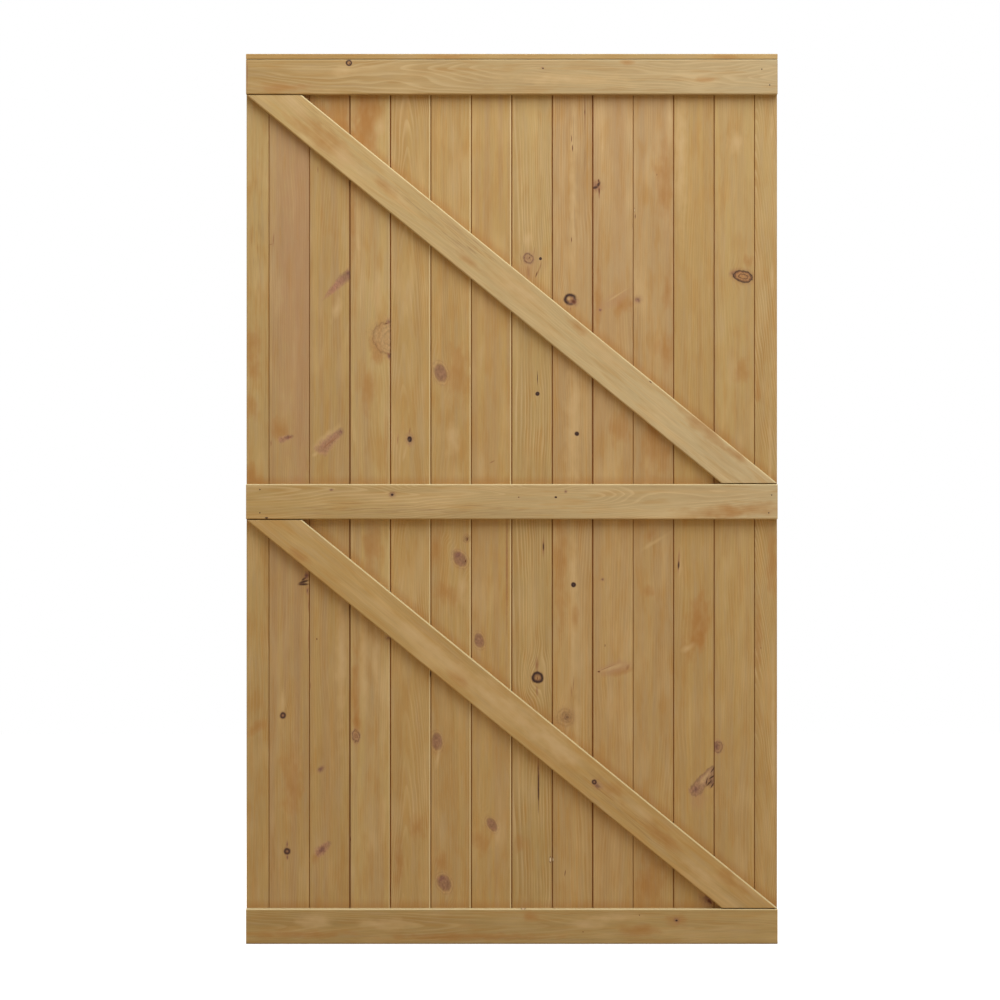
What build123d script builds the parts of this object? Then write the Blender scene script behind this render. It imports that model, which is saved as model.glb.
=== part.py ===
from build123d import *
import math
import os

# A ledged and braced garden gate leaf, in millimetres, seen from its ledged side:
# upright tongued and grooved boards, three ledges (rails) across their back, a diagonal
# brace in each bay between the ledges, and a thin capping along the top.
#
# Frame: Z is up from the foot of the leaf. X = 0 is the hanging edge and the leaf runs
# towards -X. Y = 0 is the middle of the boarding: the ledges are on its -Y side, and the
# outer face of the gate, with its vee joints, looks along +Y.

# The leaf as a whole
GATE_WIDTH = 1075.0
GATE_HEIGHT = 1800.0

# Ledges and braces, all of one section
LEDGE_WIDTH = 71.0
LEDGE_THICKNESS = 20.0
LEDGE_ROUND = 3.0
MIDDLE_LEDGE_HEIGHT = 859.0
BRACE_WIDTH = 71.0
BRACE_FIT_GAP = 1.8
BRACE_TIP_INSET = 1.0

# Capping along the top of the boards and the top ledge
CAPPING_THICKNESS = 10.0
CAPPING_ROUND = 1.5
CAPPING_JOINT_GAP = 0.8

# Boards: each covers BOARD_COVER of the width, and its tongue enters its neighbour's groove
BOARD_THICKNESS = 16.0
BOARD_COVER = 82.0
SMALLEST_EDGE_STRIP = 25.0
VEE_DEPTH = 3.0
TONGUE_THICKNESS = 5.0
TONGUE_LENGTH = 7.0
TONGUE_TIP_CHAMFER = 0.8
TONGUE_SIDE_CLEARANCE = 0.2
TONGUE_END_CLEARANCE = 0.8

# Small chamfer that takes the sharpness off a sawn edge
ARRIS = 0.8

# Open width of each joint on the ledged side, from the closing edge to the hanging edge
JOINT_GAPS = (1.0, 1.1, 1.8, 1.8, 1.2, 1.2, 1.7, 1.6, 2.2, 1.0, 1.5, 1.4, 1.2)

# What follows from those sizes
BOARD_LENGTH = GATE_HEIGHT - CAPPING_THICKNESS
FULL_BOARDS = int((GATE_WIDTH - 2 * SMALLEST_EDGE_STRIP) // BOARD_COVER)
EDGE_STRIP = (GATE_WIDTH - FULL_BOARDS * BOARD_COVER) / 2
CLOSING_EDGE_X = -GATE_WIDTH
SEAT_Y = -BOARD_THICKNESS / 2
LEDGE_FACE_Y = SEAT_Y - LEDGE_THICKNESS
OUTER_FACE_Y = BOARD_THICKNESS / 2
TOP_LEDGE_HEIGHT = BOARD_LENGTH - CAPPING_JOINT_GAP - LEDGE_WIDTH
BOTTOM_LEDGE_HEIGHT = 0.0
GROOVE_WIDTH = TONGUE_THICKNESS + 2 * TONGUE_SIDE_CLEARANCE
GROOVE_DEPTH = TONGUE_LENGTH + TONGUE_END_CLEARANCE


def board(left, right, grooved, tongued):
    """One board between two X positions, with its groove to the left and its tongue to the right."""
    with BuildPart() as strip:
        with BuildSketch(Plane.XY) as profile:
            with Locations(((left + right) / 2, 0)):
                Rectangle(right - left, BOARD_THICKNESS)
            seat_corners = profile.vertices().group_by(Axis.Y)[0]
            outer_corners = profile.vertices().group_by(Axis.Y)[-1].sort_by(Axis.X)
            chamfer(seat_corners, ARRIS)
            chamfer(outer_corners[0], VEE_DEPTH if grooved else ARRIS)
            chamfer(outer_corners[-1], VEE_DEPTH if tongued else ARRIS)
            if grooved:
                with Locations((left + GROOVE_DEPTH / 2, 0)):
                    Rectangle(GROOVE_DEPTH, GROOVE_WIDTH, mode=Mode.SUBTRACT)
            if tongued:
                with Locations((right + TONGUE_LENGTH / 2, 0)):
                    Rectangle(TONGUE_LENGTH, TONGUE_THICKNESS)
                chamfer(profile.vertices().group_by(Axis.X)[-1], TONGUE_TIP_CHAMFER)
        extrude(amount=BOARD_LENGTH)
    return strip.part


def ledge(height):
    """One ledge across the boards, whose underside is at this height."""
    with BuildPart() as rail:
        with BuildSketch(Plane.YZ):
            with Locations((SEAT_Y - LEDGE_THICKNESS / 2, height + LEDGE_WIDTH / 2)):
                Rectangle(LEDGE_THICKNESS, LEDGE_WIDTH)
        extrude(amount=-GATE_WIDTH)
        fillet(rail.edges().filter_by(Axis.X).group_by(Axis.Y)[0], LEDGE_ROUND)
        chamfer(rail.edges().filter_by(Axis.Z).group_by(Axis.Y)[0], ARRIS)
    return rail.part


def brace(below, above):
    """One diagonal brace in the bay between two heights, rising from the hanging edge to the closing edge."""
    foot_z = below + BRACE_FIT_GAP
    head_z = above - BRACE_FIT_GAP
    rise = head_z - foot_z
    run = GATE_WIDTH - 2 * BRACE_TIP_INSET
    # The slope at which a strip of this width has its two tips at opposite corners of the bay
    slope = math.atan2(rise, run) + math.asin(BRACE_WIDTH / math.hypot(rise, run))
    mitre = BRACE_WIDTH / math.sin(slope)
    head_tip_x = CLOSING_EDGE_X + BRACE_TIP_INSET
    foot_tip_x = -BRACE_TIP_INSET
    with BuildPart() as strut:
        with BuildSketch(Plane.XZ.offset(-SEAT_Y)):
            with BuildLine():
                Polyline(
                    (head_tip_x, head_z),
                    (head_tip_x + mitre, head_z),
                    (foot_tip_x, foot_z),
                    (foot_tip_x - mitre, foot_z),
                    close=True,
                )
            make_face()
        extrude(amount=LEDGE_THICKNESS)
        mitre_edges = strut.edges().filter_by(Axis.X).group_by(Axis.Y)[0]
        chamfer(mitre_edges, ARRIS)
        front_face = strut.faces().sort_by(Axis.Y)[0]
        fillet(front_face.edges().sort_by(SortBy.LENGTH)[-2:], LEDGE_ROUND)
    return strut.part


def capping():
    """The thin strip that covers the board ends and the top ledge."""
    with BuildPart() as strip:
        with BuildSketch(Plane.XY.offset(BOARD_LENGTH)):
            with Locations((-GATE_WIDTH / 2, (LEDGE_FACE_Y + OUTER_FACE_Y) / 2)):
                Rectangle(GATE_WIDTH, OUTER_FACE_Y - LEDGE_FACE_Y)
        extrude(amount=CAPPING_THICKNESS)
        fillet(strip.faces().sort_by(Axis.Z)[-1].edges(), CAPPING_ROUND)
    return strip.part


def joint_gap(number):
    """The open width of one joint, counted from 0 at the closing edge."""
    return JOINT_GAPS[number % len(JOINT_GAPS)]


def save(part, name):
    """Labels one finished piece and writes its file."""
    part.label = name
    export_step(part, f"parts/{name}.step")


os.makedirs("parts", exist_ok=True)

# Boards, numbered from the closing edge: a ripped strip at each edge and full boards between
joints = [CLOSING_EDGE_X + EDGE_STRIP + n * BOARD_COVER for n in range(FULL_BOARDS + 1)]
lefts = [CLOSING_EDGE_X] + [x + joint_gap(n) / 2 for n, x in enumerate(joints)]
rights = [x - joint_gap(n) / 2 for n, x in enumerate(joints)] + [0.0]
for number, (left, right) in enumerate(zip(lefts, rights), start=1):
    piece = board(left, right, grooved=number > 1, tongued=number < len(lefts))
    save(piece, f"board_{number:02d}")

save(ledge(BOTTOM_LEDGE_HEIGHT), "bottom_ledge")
save(ledge(MIDDLE_LEDGE_HEIGHT), "middle_ledge")
save(ledge(TOP_LEDGE_HEIGHT), "top_ledge")

save(brace(BOTTOM_LEDGE_HEIGHT + LEDGE_WIDTH, MIDDLE_LEDGE_HEIGHT), "lower_brace")
save(brace(MIDDLE_LEDGE_HEIGHT + LEDGE_WIDTH, TOP_LEDGE_HEIGHT), "upper_brace")

save(capping(), "top_capping")
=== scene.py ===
import math
from dataclasses import dataclass

import bmesh
import bpy
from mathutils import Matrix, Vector


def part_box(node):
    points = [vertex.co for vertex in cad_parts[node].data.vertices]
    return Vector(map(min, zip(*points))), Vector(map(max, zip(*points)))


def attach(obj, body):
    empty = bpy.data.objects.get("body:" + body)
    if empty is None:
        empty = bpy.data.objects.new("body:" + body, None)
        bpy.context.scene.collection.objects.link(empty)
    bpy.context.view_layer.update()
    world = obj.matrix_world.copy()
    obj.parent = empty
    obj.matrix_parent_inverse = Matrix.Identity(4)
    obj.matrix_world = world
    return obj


# A ledged and braced garden gate leaf in stained pine, seen from its ledged side.
# Frame: z up from the foot, x = 0 at the hanging edge, the ledges towards -y.
# Sizes are in metres, except those of the marks in the wood, which are in millimetres.

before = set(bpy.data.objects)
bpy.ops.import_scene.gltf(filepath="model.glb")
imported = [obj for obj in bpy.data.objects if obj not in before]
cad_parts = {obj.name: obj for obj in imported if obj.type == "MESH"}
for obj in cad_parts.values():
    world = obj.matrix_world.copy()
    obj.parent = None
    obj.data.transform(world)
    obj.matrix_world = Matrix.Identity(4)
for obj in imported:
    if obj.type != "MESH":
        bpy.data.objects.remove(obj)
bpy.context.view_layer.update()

# Sizes of the leaf

LEAF_WIDTH = 1.075
LEAF_MIDDLE = -LEAF_WIDTH / 2
BOARD_TOP = 1.79
BOARD_COVER = 0.082
FIRST_JOINT = -1.0295
FULL_BOARDS = 12
RAIL_HALF_WIDTH = 0.0355
BRACE_REACH = 0.66
BRACE_SLOPE = math.radians(39.23)
FRONT_FACE = -0.028
BACK_FACE = 0.008
MM = 0.001
STRAIGHT_THROUGH = 1000


# Shader building


class Value:
    """A shader socket that can be used in arithmetic."""

    def __init__(self, net, socket):
        self.net = net
        self.socket = socket

    def other(self, name):
        """Another output of the same node."""
        return Value(self.net, self.socket.node.outputs[name])

    def join(self, operation, a, b):
        return self.net.add("ShaderNodeMath", {"operation": operation}, {0: a, 1: b})

    def __add__(self, other):
        return self.join("ADD", self, other)

    def __radd__(self, other):
        return self.join("ADD", other, self)

    def __sub__(self, other):
        return self.join("SUBTRACT", self, other)

    def __rsub__(self, other):
        return self.join("SUBTRACT", other, self)

    def __mul__(self, other):
        return self.join("MULTIPLY", self, other)

    def __rmul__(self, other):
        return self.join("MULTIPLY", other, self)

    def __truediv__(self, other):
        return self.join("DIVIDE", self, other)

    def __rtruediv__(self, other):
        return self.join("DIVIDE", other, self)

    def __pow__(self, other):
        return self.join("POWER", self, other)


class Net:
    """The node tree of one material or world."""

    def __init__(self, owner):
        owner.use_nodes = True
        self.tree = owner.node_tree
        self.tree.nodes.clear()

    def add(self, kind, settings=None, sockets=None, out=0):
        """Adds a node, sets its settings and then its sockets, and gives one of its outputs."""
        node = self.tree.nodes.new(kind)
        for name, setting in (settings or {}).items():
            if name == "stops":
                ramp = node.color_ramp
                while len(ramp.elements) < len(setting):
                    ramp.elements.new(1.0)
                for element, (place, colour) in zip(ramp.elements, setting):
                    element.position = place
                    element.color = colour
            else:
                setattr(node, name, setting)
        for name, content in (sockets or {}).items():
            if isinstance(content, Value):
                self.tree.links.new(content.socket, node.inputs[name])
            else:
                node.inputs[name].default_value = content
        return Value(self, node.outputs[out]) if node.outputs else node

    def noise(self, place, size, offset, detail=1.0):
        """Noise whose features have this size across, through and along the grain."""
        scaled = self.add(
            "ShaderNodeVectorMath",
            {"operation": "MULTIPLY_ADD"},
            {0: place, 1: [1 / s for s in size], 2: (offset, offset * 0.7, offset * 1.3)},
        )
        return self.add("ShaderNodeTexNoise", None, {"Vector": scaled, "Scale": 1.0, "Detail": detail})

    def smooth(self, value, low, high):
        """0 below low and 1 above high, eased in between; low may be the larger."""
        return self.add(
            "ShaderNodeMapRange",
            {"interpolation_type": "SMOOTHSTEP"},
            {"Value": value, "From Min": low, "From Max": high},
        )

    def blend(self, share, first, second):
        """A mix of two colours."""
        return self.add("ShaderNodeMix", {"data_type": "RGBA"}, {0: share, 6: first, 7: second}, out=2)

    def scale(self, vector, factor):
        """A colour or vector times a number."""
        return self.add("ShaderNodeVectorMath", {"operation": "SCALE"}, {0: vector, "Scale": factor})

    def length(self, vector):
        return self.add("ShaderNodeVectorMath", {"operation": "LENGTH"}, {0: vector}, out="Value")

    def parts(self, vector):
        """The x, y and z of a vector."""
        x = self.add("ShaderNodeSeparateXYZ", None, {0: vector})
        return x, x.other("Y"), x.other("Z")

    def turned(self, place, settings):
        """A place as seen from a moved, turned and scaled frame."""
        return self.add("ShaderNodeMapping", {"vector_type": "TEXTURE"}, {"Vector": place, **settings})


def tone(red, green, blue, cover=1.0):
    """A colour given as it is seen on a screen, from 0 to 255, with its cover."""
    linear = [((c / 255 + 0.055) / 1.055) ** 2.4 for c in (red, green, blue)]
    return (*linear, cover)


# Tones of the stained pine

TONES = {
    "tan": tone(188, 157, 100),
    "honey": tone(187, 151, 88),
    "rose": tone(188, 157, 111),
    "straw": tone(193, 166, 110),
    "olive": tone(182, 154, 98),
    "pale": tone(203, 184, 142),
}
AMBER = tone(183, 138, 72)
ROSE = tone(187, 149, 111)
CREAM = tone(216, 190, 142)
ASH = tone(188, 162, 120)
# Warm painted shade on the boards just above the ledges and braces
PAINTED_CORNER_SHADE = tone(166, 110, 50)
IN_JOINT = tone(178, 100, 34)
# Pale tone of the painted highlight along lit arrises
PAINTED_HIGHLIGHT = tone(226, 208, 158)
STAINED = tone(124, 78, 40)

# Noises in the wood: size across, through and along the grain, shift of the seed, detail

LAYERS = {
    "ragged": ((0.005, 0.02, 0.008), 19, 2.0),
    "wobble": ((0.014, 0.02, 0.03), 23, 1.0),
    "mottle": ((0.0034, 0.0034, 0.0055), 21, 2.0),
    "wander": ((0.1, 0.1, 0.5), 3, 1.0),
    "ripple": ((0.02, 0.02, 0.09), 5, 1.0),
    "drifts": ((0.03, 0.03, 0.12), 17, 1.0),
    "fibre": ((0.0017, 0.0017, 0.03), 7, 1.0),
    "lines": ((0.0045, 0.005, 0.3), 9, 1.0),
    "bands": ((0.016, 0.03, 0.5), 11, 1.0),
    "hues": ((0.011, 0.03, 0.08), 27, 2.0),
    "clouds": ((0.022, 0.03, 0.075), 13, 2.0),
    "patches": ((0.05, 0.05, 0.13), 15, 1.0),
}
HAIRS_SIZE, HAIRS_SHIFT = (0.0019, 0.01, 0.05), 25

# How much lighter or darker a layer makes the wood between its ends

SHADING = {"fibre": 0.15, "lines": 0.12, "bands": 0.23, "drifts": 0.08}

# Grain: how far it wanders and ripples, and how it passes a knot

WANDER = 0.05
RIPPLE = 0.006
PUSH = 0.75
PUSH_LENGTH = 2.2

# Years of growth. A bulge in them comes to the face as nested rings

UNEVEN_YEARS = 2.6
UNEVEN_SHARE = 1.8
LATE_STARTS = (0.4, 0.8)
LATE_ENDS = (0.96, 0.86)
NEST_RINGS = 3.0
NEST_RAGGED = 0.5
NEST_LIFT = (1.1, 0.0)
NEST_BOLD = (1.25, 0.85)
NEST_STRENGTH = 0.55
PATCHES_SHOW = (0.35, 0.65)
LEAST_SHOWN = 0.2
EARLY_AMBER = 0.22
LATE_CREAM = 0.7
EARLY_DARK = 0.02

# Painted warm shade on the boards just above the ledges and braces: a point on each upper edge, and
# its slope down towards the hanging edge. Pairs of sizes give where an effect starts and where it is
# full

SHADE_LINES = (
    (0.0, 0.071, 0.0),
    (0.0, 0.93, 0.0),
    (LEAF_MIDDLE, 0.5109, BRACE_SLOPE),
    (LEAF_MIDDLE, 1.37, BRACE_SLOPE),
)
SHADE_ABOVE = (0.022, 0.0)
SHADE_BELOW = (-0.05, -0.03)
SHADE_SHARE = 0.42
ON_FACE = (-0.0074, -0.0078)
BEHIND_FACE = (-0.0076, -0.007)
BEFORE_BACK = (0.0046, 0.004)
OFF_FOOT = (0.0004, 0.001)
OFF_HANGING_EDGE = (-0.0004, -0.001)
OFF_CLOSING_EDGE = (-1.0746, -1.074)
JOINT_SHARE = 0.88

# Surface: the sheen, and the fine raised grain

SHEEN = 0.35
ROUGHNESS = 0.6
LATE_SMOOTHER = 0.06
LATE_RAISED = 0.4
GRAIN_HEIGHT = 0.0004
GRAIN_STRENGTH = 0.25

# Arrises lightened by a painted highlight and arrises stained dark: how far from the edge each starts
# and is full. Beside an open joint the painted highlight is wider and stops short of the edge

NARROW_EDGE = (0.0028, 0.0016)
WIDE_HIGHLIGHT = (0.0042, 0.003)
HIGHLIGHT_STOPS = (0.0012, 0.0018)

# Marks in the wood: tones from the middle outwards

MARKS = {
    "eye": (
        (0.0, tone(186, 136, 84, 0.85)),
        (0.16, tone(172, 124, 80, 0.85)),
        (0.24, tone(96, 62, 46, 0.95)),
        (0.3, tone(178, 130, 84, 0.85)),
        (0.42, tone(156, 110, 72, 0.85)),
        (0.47, tone(84, 54, 44, 1.0)),
        (0.5, tone(140, 98, 68, 0.9)),
        (0.545, tone(56, 40, 36, 1.0)),
        (0.59, tone(84, 60, 48, 0.85)),
        (0.66, tone(158, 114, 74, 0.4)),
        (1.0, tone(176, 132, 84, 0.0)),
    ),
    "dead": (
        (0.0, tone(172, 130, 84, 0.85)),
        (0.26, tone(156, 116, 76, 0.85)),
        (0.36, tone(120, 84, 60, 0.92)),
        (0.45, tone(70, 48, 40, 1.0)),
        (0.58, tone(62, 44, 38, 1.0)),
        (0.66, tone(120, 86, 60, 0.7)),
        (0.78, tone(198, 162, 112, 0.3)),
        (1.0, tone(198, 162, 112, 0.0)),
    ),
    "button": (
        (0.0, tone(164, 124, 92, 1.0)),
        (0.16, tone(138, 100, 74, 1.0)),
        (0.34, tone(78, 54, 46, 1.0)),
        (0.54, tone(78, 54, 47, 0.95)),
        (0.64, tone(130, 94, 68, 0.65)),
        (0.8, tone(178, 138, 96, 0.25)),
        (1.0, tone(190, 150, 104, 0.0)),
    ),
    "ring": (
        (0.0, tone(128, 92, 74, 0.8)),
        (0.12, tone(172, 134, 98, 0.65)),
        (0.24, tone(126, 90, 74, 0.75)),
        (0.34, tone(178, 140, 102, 0.65)),
        (0.46, tone(152, 114, 88, 0.7)),
        (0.56, tone(106, 74, 64, 0.85)),
        (0.64, tone(142, 104, 84, 0.55)),
        (0.76, tone(180, 142, 106, 0.3)),
        (1.0, tone(184, 146, 106, 0.0)),
    ),
    "knot": (
        (0.0, tone(118, 86, 60, 0.8)),
        (0.14, tone(134, 100, 70, 0.7)),
        (0.24, tone(160, 123, 84, 0.45)),
        (0.34, tone(140, 104, 70, 0.52)),
        (0.48, tone(176, 138, 94, 0.3)),
        (0.6, tone(150, 112, 74, 0.44)),
        (0.75, tone(182, 144, 98, 0.25)),
        (1.0, tone(184, 144, 98, 0.0)),
    ),
    "pin": (
        (0.0, tone(92, 66, 52, 1.0)),
        (0.16, tone(60, 42, 38, 1.0)),
        (0.45, tone(60, 42, 39, 1.0)),
        (0.58, tone(124, 88, 62, 0.7)),
        (0.72, tone(204, 172, 124, 0.3)),
        (1.0, tone(204, 172, 124, 0.0)),
    ),
    "live": (
        (0.0, tone(140, 101, 82, 0.85)),
        (0.12, tone(152, 112, 90, 0.78)),
        (0.28, tone(142, 102, 82, 0.82)),
        (0.42, tone(148, 108, 86, 0.78)),
        (0.52, tone(144, 104, 82, 0.66)),
        (0.6, tone(162, 122, 90, 0.36)),
        (0.68, tone(198, 162, 114, 0.34)),
        (0.76, tone(164, 122, 84, 0.32)),
        (0.84, tone(188, 150, 104, 0.15)),
        (1.0, tone(186, 148, 104, 0.0)),
    ),
    "smudge": (
        (0.0, tone(126, 88, 78, 0.85)),
        (0.25, tone(138, 98, 84, 0.7)),
        (0.55, tone(164, 122, 94, 0.35)),
        (1.0, tone(184, 144, 104, 0.0)),
    ),
    "spike": (
        (0.0, tone(172, 122, 104, 0.8)),
        (0.45, tone(172, 122, 104, 0.72)),
        (0.75, tone(176, 130, 106, 0.45)),
        (1.0, tone(186, 146, 108, 0.0)),
    ),
    "feather": (
        (0.0, tone(166, 120, 100, 0.75)),
        (0.4, tone(168, 124, 104, 0.68)),
        (0.7, tone(184, 144, 112, 0.45)),
        (1.0, tone(196, 160, 116, 0.0)),
    ),
    "wedge": (
        (0.0, tone(184, 148, 114, 0.88)),
        (0.35, tone(176, 140, 110, 0.82)),
        (0.6, tone(158, 122, 98, 0.75)),
        (0.76, tone(136, 102, 80, 0.62)),
        (0.86, tone(164, 126, 96, 0.4)),
        (1.0, tone(184, 146, 106, 0.0)),
    ),
    "split": (
        (0.0, tone(66, 44, 34, 1.0)),
        (0.5, tone(88, 58, 42, 0.9)),
        (1.0, tone(150, 110, 72, 0.0)),
    ),
    "crack": (
        (0.0, tone(92, 50, 36, 1.0)),
        (0.5, tone(112, 66, 44, 0.9)),
        (1.0, tone(160, 112, 70, 0.0)),
    ),
    "streak": (
        (0.0, tone(146, 96, 64, 0.7)),
        (0.5, tone(156, 106, 70, 0.45)),
        (1.0, tone(170, 124, 84, 0.0)),
    ),
    "resin": (
        (0.0, tone(212, 184, 136, 0.65)),
        (0.5, tone(208, 178, 128, 0.4)),
        (1.0, tone(200, 170, 118, 0.0)),
    ),
    "stain": (
        (0.0, tone(173, 121, 58, 0.58)),
        (0.5, tone(178, 127, 66, 0.38)),
        (1.0, tone(184, 136, 78, 0.0)),
    ),
    "blush": (
        (0.0, tone(184, 142, 106, 0.4)),
        (0.5, tone(184, 142, 106, 0.3)),
        (1.0, tone(184, 146, 106, 0.0)),
    ),
    "burr": (
        (0.0, tone(192, 154, 116, 0.6)),
        (0.22, tone(186, 146, 106, 0.5)),
        (0.27, tone(162, 120, 88, 0.45)),
        (0.33, tone(194, 154, 114, 0.55)),
        (0.42, tone(184, 144, 104, 0.5)),
        (0.46, tone(166, 124, 90, 0.45)),
        (0.52, tone(190, 150, 108, 0.5)),
        (0.57, tone(168, 126, 88, 0.5)),
        (0.6, tone(136, 96, 66, 0.6)),
        (0.65, tone(182, 140, 92, 0.35)),
        (1.0, tone(190, 146, 90, 0.0)),
    ),
    "chip": (
        (0.0, tone(232, 216, 182, 1.0)),
        (0.45, tone(224, 200, 158, 1.0)),
        (0.7, tone(104, 74, 52, 0.8)),
        (1.0, tone(150, 112, 70, 0.0)),
    ),
    "lines": (
        (0.0, tone(142, 102, 62, 0.3)),
        (0.6, tone(142, 102, 62, 0.22)),
        (1.0, tone(142, 102, 62, 0.0)),
    ),
}

# How far past its edge a mark fades, in half sizes

RIM = 1.6
FADES_AT = dict.fromkeys(("split", "streak", "crack", "chip", "spike", "feather", "wedge"), 1.0)

# Marks whose tone is uneven, and how uneven

MOTTLED = ("live", "eye", "dead", "ring", "spike", "feather", "wedge", "knot", "smudge", "burr")
MOTTLE_LEAST, MOTTLE_SWING = 0.35, 1.3
BROKEN_RING = (0.2, 0.5)
HAIRS_SHOW = (0.52, 0.64)

# Long knots widen towards their head (+) or towards their foot (-)

TAPER_WAIST = 0.62
TAPERS = {"spike": 0.45, "feather": -0.3, "wedge": -0.25}

# The darker head of a long knot: where it starts and is full, its share and its tone

DARK_HEADS = {
    "spike": (0.1, 0.95, 1.0, tone(110, 76, 74)),
    "feather": (0.4, 1.0, 0.7, tone(120, 96, 82)),
}
SPIKE_FADE = (-1.15, 0.0)

# How far round it a knot pushes the grain aside, in half sizes

PUSHES_GRAIN = {
    "eye": 2.0,
    "dead": 2.6,
    "ring": 2.2,
    "knot": 2.0,
    "pin": 3.0,
    "live": 1.8,
    "button": 2.2,
    "burr": 1.4,
}

# How ragged the outline of each kind is, and how much it wanders

OUTLINES = {
    "spike": (0.6, 0.5),
    "feather": (0.7, 0.5),
    "wedge": (0.5, 0.4),
    "stain": (0.3, 1.4),
    "resin": (0.3, 1.2),
    "blush": (0.0, 1.2),
    "streak": (0.5, 0.3),
    "split": (0.3, 0.3),
    "crack": (0.7, 0.4),
    "chip": (0.4, 0.2),
    "smudge": (0.6, 0.6),
    "live": (0.12, 0.22),
    "ring": (0.5, 0.25),
    "dead": (0.12, 0.3),
    "burr": (0.14, 0.26),
    "eye": (0.24, 0.25),
    "lines": (0.3, 0.6),
}
PLAIN_OUTLINE = (0.15, 0.25)


@dataclass
class Timber:
    """How one piece was sawn, and what the tree left in it.

    foot, head: its tone at its lower or left end and at the other end.
    shade: how light it is.
    pith: how far the heart of the tree lay across and behind the piece.
    year: a year's growth. lean: slope between the grain and the piece.
    figure: how strongly the years show.
    amber, rose, cream, streaks: its share of each tint.
    edges: its left and right arris, with a painted highlight (+) or stained dark (-).
    marks: (kind, across, along, half width, half length, tilt in degrees), with across from
    the middle line and along from the foot of a board or the middle of a rail or brace.
    """

    seed: float
    foot: str = "tan"
    head: str = "tan"
    shade: float = 1.0
    pith: tuple = (0.09, 0.05)
    year: float = 0.0045
    lean: float = 0.008
    figure: float = 0.25
    amber: float = 0.35
    rose: float = 0.3
    cream: float = 0.2
    streaks: float = 0.15
    edges: tuple = (0.0, 0.0)
    marks: tuple = ()


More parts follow.
